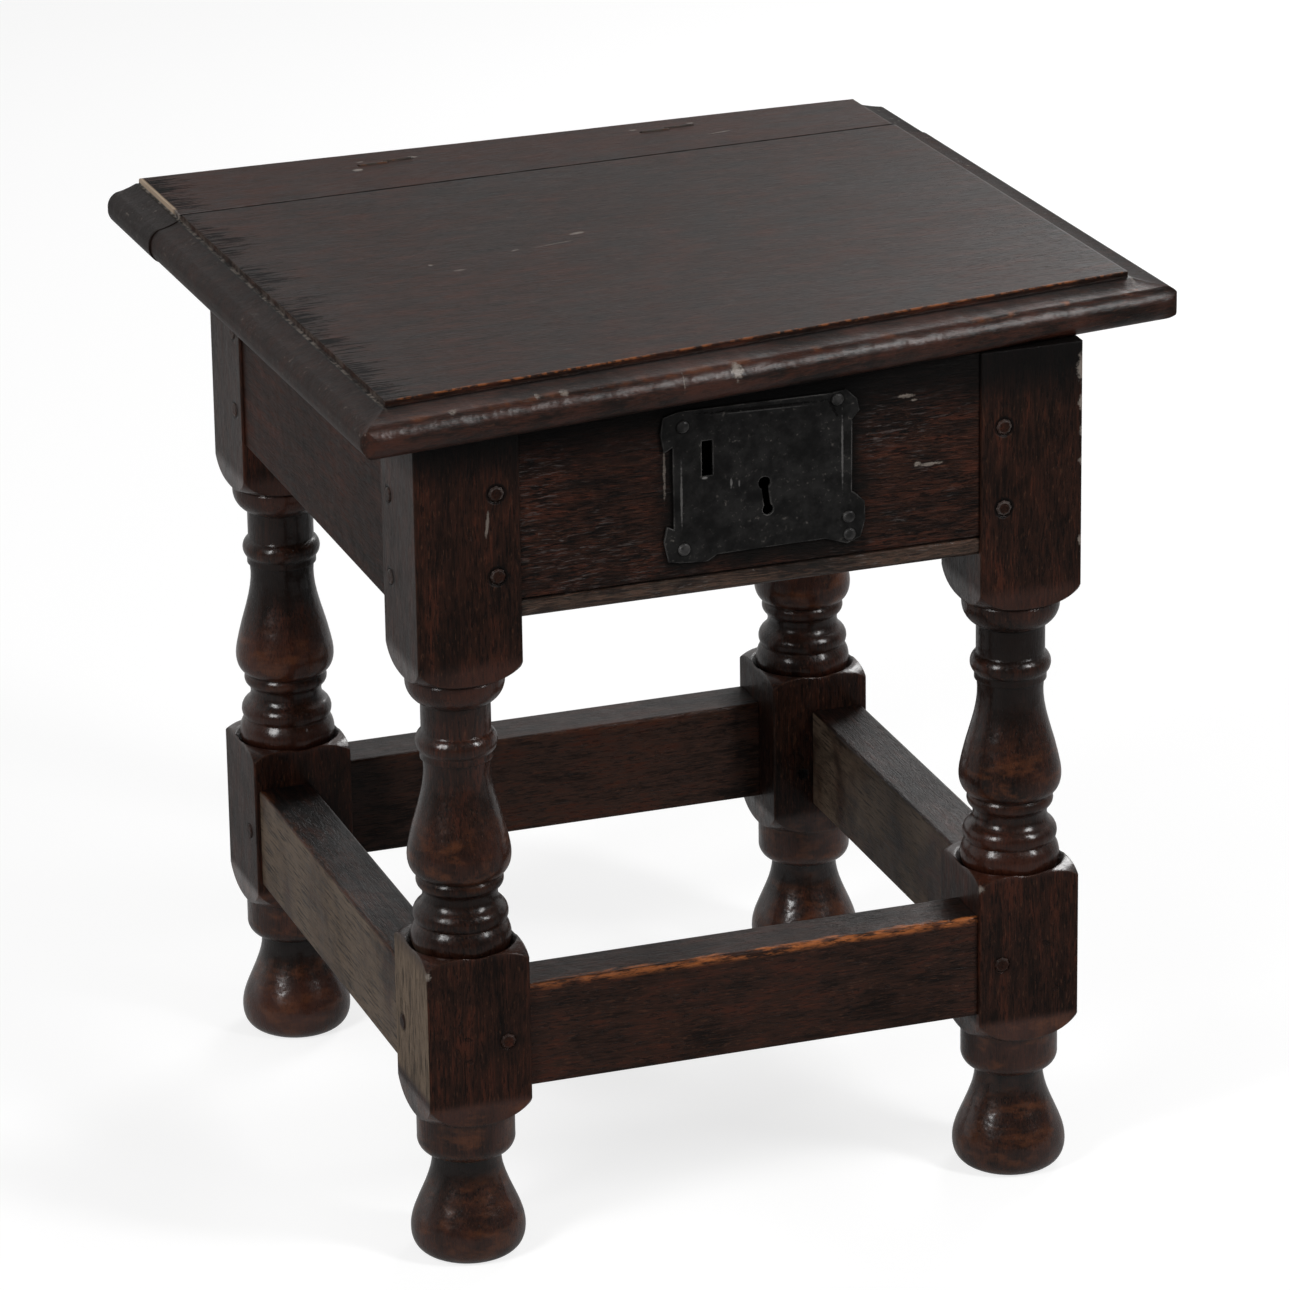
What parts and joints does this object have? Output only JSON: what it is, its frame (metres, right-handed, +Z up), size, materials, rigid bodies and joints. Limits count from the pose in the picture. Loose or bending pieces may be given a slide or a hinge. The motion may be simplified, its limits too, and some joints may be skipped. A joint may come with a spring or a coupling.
{
  "type": "joint stool",
  "caption": "Oak box stool with turned legs, pegged rails and stretchers, a hinged moulded lid and an iron lock plate.",
  "frame": {"origin": "on the floor, under the middle of the whole stool's bounding box", "axes": "+X along the front to the right, +Y from the front with the lock plate to the back with the hinges, +Z up"},
  "size_m": [0.5222, 0.4716, 0.5461],
  "materials": {
    "frame_oak": "old dark oak, dusty in the pores, rubbed reddish brown on the edges",
    "lid_oak": "old dark oak with a worn wax sheen",
    "peg_oak": "dark riven oak",
    "inner_oak": "dry unwaxed oak",
    "plate_iron": "blackened wrought iron, slightly pitted",
    "wire_iron": "rusted iron wire"
  },
  "bodies": {
    "frame": {"leg_front_left": "frame_oak", "leg_front_right": "frame_oak", "leg_back_left": "frame_oak", "leg_back_right": "frame_oak", "rail_front": "frame_oak", "rail_back": "frame_oak", "rail_left": "frame_oak", "rail_right": "frame_oak", "stretcher_front": "frame_oak", "stretcher_back": "frame_oak", "stretcher_left": "frame_oak", "stretcher_right": "frame_oak", "rail_pegs_front": "peg_oak", "rail_pegs_back": "peg_oak", "rail_pegs_left": "peg_oak", "rail_pegs_right": "peg_oak", "stretcher_pegs_front": "peg_oak", "stretcher_pegs_back": "peg_oak", "stretcher_pegs_left": "peg_oak", "stretcher_pegs_right": "peg_oak", "bottom_board_front": "inner_oak", "bottom_board_back": "inner_oak", "hinge_rail_staple_left": "wire_iron", "hinge_rail_staple_right": "wire_iron", "lock_plate": "plate_iron", "lock_plate_nails": "plate_iron", "lock_bolt_guides": "plate_iron", "lock_spring": "plate_iron"},
    "lid": {"lid_main_board": "lid_oak", "lid_rear_board": "lid_oak", "lid_joint_pegs": "peg_oak", "hinge_lid_staple_left": "wire_iron", "hinge_lid_staple_right": "wire_iron"},
    "lock_bolt": {"lock_bolt": "plate_iron"}
  },
  "joints": [
    {"name": "lid_hinge", "type": "hinge", "parent": "frame", "child": "lid", "pos_m": [-0.0039, 0.2277, 0.5125], "axis": [-1, 0, 0], "range_deg": [0, 100]},
    {"name": "bolt_slide", "type": "slide", "parent": "frame", "child": "lock_bolt", "axis": [-1, 0, 0], "range_m": [0, 0.014]}
  ]
}
